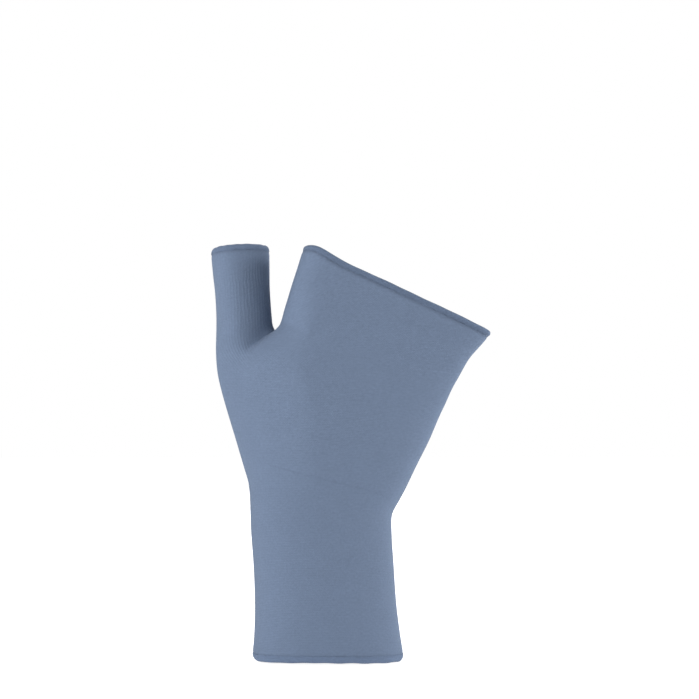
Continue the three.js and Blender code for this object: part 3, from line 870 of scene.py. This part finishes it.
@functools.lru_cache(maxsize=1)
def knit_loops():
    """Rows of slanted loops, as a height from 0 to 1."""
    inputs = [("Coordinates", "Vector"), ("Wale", "Float"), ("Course", "Float"), ("Slant", "Float")]
    inputs.append(("Unevenness", "Float"))
    tree, given, made = new_group("Knit loops", inputs, [("Height", "Float")])
    shake = noise(tree, given["Coordinates"], LOOP_NOISE, 1.0)["Color"]
    shake = vector_maths(tree, "SUBTRACT", shake, (0.5, 0.5, 0.5))
    shake = vector_maths(tree, "SCALE", shake, given["Unevenness"])
    moved = vector_maths(tree, "ADD", given["Coordinates"], shake)
    place = add_node(tree, "ShaderNodeSeparateXYZ", {0: moved}).outputs
    wale = maths(tree, "FRACT", maths(tree, "DIVIDE", place["X"], given["Wale"]))
    side = maths(tree, "MULTIPLY", maths(tree, "ABSOLUTE", maths(tree, "SUBTRACT", wale, 0.5)), 2.0)
    course = maths(tree, "DIVIDE", place["Y"], given["Course"])
    slanted = maths(tree, "MULTIPLY_ADD", side, given["Slant"], course)
    strand = maths(tree, "SINE", maths(tree, "MULTIPLY", maths(tree, "FRACT", slanted), math.pi))
    middle = maths(tree, "MULTIPLY_ADD", side, 2.0, -1.0)
    leg = maths(tree, "SUBTRACT", 1.0, maths(tree, "MULTIPLY", middle, middle))
    body = maths(tree, "MULTIPLY_ADD", leg, LEG_SHARE, 1 - LEG_SHARE)
    tree.links.new(maths(tree, "MULTIPLY", strand, body), made["Height"])
    return tree


@functools.lru_cache(maxsize=1)
def yarn_shade():
    """Uneven yarn: short dashes along the rows, small clouds and broad patches, from 0 to 1."""
    inputs = [("Coordinates", "Vector"), ("Dash", "Float"), ("Cloud", "Float"), ("Patch", "Float")]
    outputs = [("Dashes", "Float"), ("Clouds", "Float"), ("Patches", "Float")]
    tree, given, made = new_group("Yarn shade", inputs, outputs)
    place = given["Coordinates"]
    stretched = vector_maths(tree, "MULTIPLY", place, DASH_STRETCH)
    for label, vector, scale, detail in (
        ("Dashes", stretched, given["Dash"], 2.0),
        ("Clouds", place, given["Cloud"], 1.0),
        ("Patches", place, given["Patch"], 2.0),
    ):
        tree.links.new(noise(tree, vector, scale, detail)["Fac"], made[label])
    return tree


def rib_waves(tree, uv, shade, rib):
    """Waves across the ribs, from -1 to 1: those of the stall and the leaning ones on its root."""
    across = add_node(tree, "ShaderNodeSeparateXYZ", {0: uv}).outputs["X"]
    across = maths(tree, "MULTIPLY_ADD", shade["Patches"], RIB_SHAKE, across)
    stall = maths(tree, "COSINE", maths(tree, "MULTIPLY", across, 2 * math.pi / rib))
    uneven = maths(tree, "MULTIPLY_ADD", shade["Clouds"], RIB_CLOUDS, -1.0)
    uneven = maths(tree, "MULTIPLY_ADD", shade["Patches"], RIB_PATCHES, uneven)
    stall = maths(tree, "MULTIPLY", stall, maths(tree, "MULTIPLY", point_value(tree, "ribs"), uneven))
    phase = maths(tree, "MULTIPLY", point_value(tree, "root_phase"), 2 * math.pi)
    root = maths(tree, "MULTIPLY", maths(tree, "COSINE", phase), point_value(tree, "root_ribs"))
    return stall, root


def knit_material(name, colour, slant, loop_depth, rib_depth, roughness):
    """A knit of fine loops, with ribs where the piece has them."""
    sizes = bpy.context.scene.gauntlet_sizes
    material = bpy.data.materials.new(name)
    material.use_nodes = True
    tree = material.node_tree
    shader = tree.nodes["Principled BSDF"]
    uv = add_node(tree, "ShaderNodeUVMap", uv_map="knit").outputs["UV"]
    knit = {"Wale": sizes.wale, "Course": sizes.course, "Slant": slant, "Unevenness": LOOP_SHAKE}
    loops = add_node(tree, "ShaderNodeGroup", {"Coordinates": uv, **knit}, node_tree=knit_loops()).outputs
    yarn = {"Coordinates": uv, **YARN_SCALES}
    shade = add_node(tree, "ShaderNodeGroup", yarn, node_tree=yarn_shade()).outputs

    height = maths(tree, "MULTIPLY", loops["Height"], loop_depth)
    height = maths(tree, "MULTIPLY_ADD", shade["Dashes"], DASH_DEPTH, height)
    tone = maths(tree, "MULTIPLY_ADD", loops["Height"], LOOP_TONE, BASE_TONE)
    for label, amount in YARN_TONES.items():
        tone = maths(tree, "MULTIPLY_ADD", maths(tree, "SUBTRACT", shade[label], 0.5), amount, tone)
    if rib_depth:
        stall, root = rib_waves(tree, uv, shade, sizes.rib)
        height = maths(tree, "MULTIPLY_ADD", stall, rib_depth, height)
        height = maths(tree, "MULTIPLY_ADD", root, rib_depth, height)
        tone = maths(tree, "MULTIPLY_ADD", root, ROOT_RIB_TONE, tone)
    bump = add_node(tree, "ShaderNodeBump", {"Height": height, "Distance": MM, "Strength": 1.0})
    tree.links.new(bump.outputs["Normal"], shader.inputs["Normal"])

    # The point values darken the colour with dense stitches and painted shade, and lighten it with painted light
    # where they are below zero
    pale = maths(tree, "SUBTRACT", 1.0, point_value(tree, "dense_stitches_and_painted_shade"))
    tone = maths(tree, "MULTIPLY", tone, pale)
    tree.links.new(vector_maths(tree, "SCALE", tuple(colour), tone), shader.inputs["Base Color"])
    smoothest = roughness - DASH_ROUGHNESS / 2
    rough = maths(tree, "MULTIPLY_ADD", shade["Dashes"], DASH_ROUGHNESS, smoothest)
    tree.links.new(rough, shader.inputs["Roughness"])
    shader.inputs["Specular IOR Level"].default_value = 0.2
    shader.inputs["Sheen Weight"].default_value = 0.12
    shader.inputs["Sheen Roughness"].default_value = 0.5
    shader.inputs["Sheen Tint"].default_value = (0.8, 0.88, 1.0, 1.0)
    return material


@functools.lru_cache(maxsize=1)
def knit_finish():
    """The materials of the knit's outside and inside."""
    colour = bpy.context.scene.gauntlet_colours.knit
    inner = [INSIDE_TONE * c for c in colour]
    return (
        knit_material("knit_outside", colour, slant=0.6, loop_depth=0.05, rib_depth=0.048, roughness=0.88),
        knit_material("knit_inside", inner, slant=-0.25, loop_depth=0.1, rib_depth=0.0, roughness=0.92),
    )


@functools.lru_cache(maxsize=1)
def hem_finish():
    """The material of the hems."""
    colour = bpy.context.scene.gauntlet_colours.hem
    return knit_material("knit_hem", colour, slant=0.6, loop_depth=0.08, rib_depth=0.0, roughness=0.9)


# The stage

def camera_glow(tree, everywhere, for_camera):
    """A strength of light that is greater where the camera sees it."""
    seen = add_node(tree, "ShaderNodeLightPath").outputs["Is Camera Ray"]
    return maths(tree, "MULTIPLY_ADD", seen, for_camera, everywhere)


def add_floor(scene):
    """A plain pale floor just under the wrist hem."""
    mesh = bpy.data.meshes.new("floor")
    half = FLOOR_HALF
    corners = [(-half, -half, 0), (half, -half, 0), (half, half, 0), (-half, half, 0)]
    mesh.from_pydata(corners, [], [(0, 1, 2, 3)])
    floor = bpy.data.objects.new("floor", mesh)
    floor.location.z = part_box("wrist_hem")[0].z - FLOOR_GAP
    material = bpy.data.materials.new("pale_floor")
    material.use_nodes = True
    shader = material.node_tree.nodes["Principled BSDF"]
    shader.inputs["Base Color"].default_value = (*scene.gauntlet_colours.floor, 1.0)
    shader.inputs["Roughness"].default_value = FLOOR_ROUGHNESS
    shader.inputs["Emission Color"].default_value = (1.0, 1.0, 1.0, 1.0)
    strength = camera_glow(material.node_tree, *FLOOR_GLOW)
    material.node_tree.links.new(strength, shader.inputs["Emission Strength"])
    mesh.materials.append(material)
    scene.collection.objects.link(floor)


def add_lights(scene):
    """Soft lights round the gauntlet, and a white world."""
    for name, place, width, power in LIGHTS:
        data = bpy.data.lights.new(name, "AREA")
        data.size = width
        data.energy = power
        light = bpy.data.objects.new(name, data)
        light.location = place
        light.rotation_euler = (LIGHT_AIM - Vector(place)).to_track_quat("-Z", "Y").to_euler()
        scene.collection.objects.link(light)

    world = bpy.data.worlds.new("studio")
    world.use_nodes = True
    background = world.node_tree.nodes["Background"]
    background.inputs["Color"].default_value = (1.0, 1.0, 1.0, 1.0)
    strength = camera_glow(world.node_tree, *WORLD_GLOW)
    world.node_tree.links.new(strength, background.inputs["Strength"])
    scene.world = world
    scene.view_settings.view_transform = "Standard"


def add_camera(scene):
    """A camera straight in front of the back, far enough away to show hardly any perspective."""
    data = bpy.data.cameras.new("camera")
    data.sensor_width = SENSOR_WIDTH
    data.lens = SENSOR_WIDTH * CAMERA_AWAY / PICTURE_WIDTH
    camera = bpy.data.objects.new("camera", data)
    x, z = PICTURE_MIDDLE
    camera.location = (x, -CAMERA_AWAY, z)
    camera.rotation_euler = (math.pi / 2, 0, 0)
    scene.collection.objects.link(camera)
    scene.camera = camera


# The operators


class GAUNTLET_OT_hems(bpy.types.Operator):
    """Make the rolled hems of the wrist, finger and thumb openings"""

    bl_idname = "gauntlet.hems"
    bl_label = "Hems"

    def execute(self, context):
        surface = knit_surface()
        for name, hem in HEMS.items():
            mesh = hem_mesh(name + "_roll", surface.edges[name], hem)
            link(name + "_roll", mesh, name + "_hem", "hem", hem_finish())
        return {"FINISHED"}


class GAUNTLET_OT_hand_sleeve(bpy.types.Operator):
    """Make the knitted sleeve from the wrist hem to the finger hem"""

    bl_idname = "gauntlet.hand_sleeve"
    bl_label = "Hand sleeve"

    def execute(self, context):
        mesh = fabric_mesh("sleeve_knit", False)
        piece = link("sleeve_knit", mesh, "hand_sleeve", "knit", *knit_finish())
        return {"FINISHED"}


class GAUNTLET_OT_thumb_stall(bpy.types.Operator):
    """Make the knitted thumb stall"""

    bl_idname = "gauntlet.thumb_stall"
    bl_label = "Thumb stall"

    def execute(self, context):
        mesh = fabric_mesh("thumb_knit", True)
        piece = link("thumb_knit", mesh, "thumb_stall", "knit", *knit_finish())
        return {"FINISHED"}


class GAUNTLET_OT_stage(bpy.types.Operator):
    """Make the floor, the lights and the camera"""

    bl_idname = "gauntlet.stage"
    bl_label = "Stage"

    def execute(self, context):
        add_floor(context.scene)
        add_lights(context.scene)
        add_camera(context.scene)
        return {"FINISHED"}


OPERATORS = (GAUNTLET_OT_hems, GAUNTLET_OT_hand_sleeve, GAUNTLET_OT_thumb_stall, GAUNTLET_OT_stage)


class GAUNTLET_PT_panel(bpy.types.Panel):
    """Sizes, colours and pieces of the gauntlet"""

    bl_idname = "GAUNTLET_PT_panel"
    bl_label = "Compression gauntlet"
    bl_space_type = "VIEW_3D"
    bl_region_type = "UI"
    bl_category = "Gauntlet"

    def draw(self, context):
        for group in (context.scene.gauntlet_sizes, context.scene.gauntlet_colours):
            for name in group.__annotations__:
                self.layout.prop(group, name)
        for operator in OPERATORS:
            self.layout.operator(operator.bl_idname)


CLASSES = (GauntletSizes, GauntletColours, *OPERATORS, GAUNTLET_PT_panel)


def register():
    for made in CLASSES:
        bpy.utils.register_class(made)
    bpy.types.Scene.gauntlet_sizes = bpy.props.PointerProperty(type=GauntletSizes)
    bpy.types.Scene.gauntlet_colours = bpy.props.PointerProperty(type=GauntletColours)


def unregister():
    del bpy.types.Scene.gauntlet_colours
    del bpy.types.Scene.gauntlet_sizes
    for made in reversed(CLASSES):
        bpy.utils.unregister_class(made)


def main():
    register()
    bpy.ops.gauntlet.hems()
    bpy.ops.gauntlet.hand_sleeve()
    bpy.ops.gauntlet.thumb_stall()
    bpy.ops.gauntlet.stage()


if __name__ == "__main__":
    main()
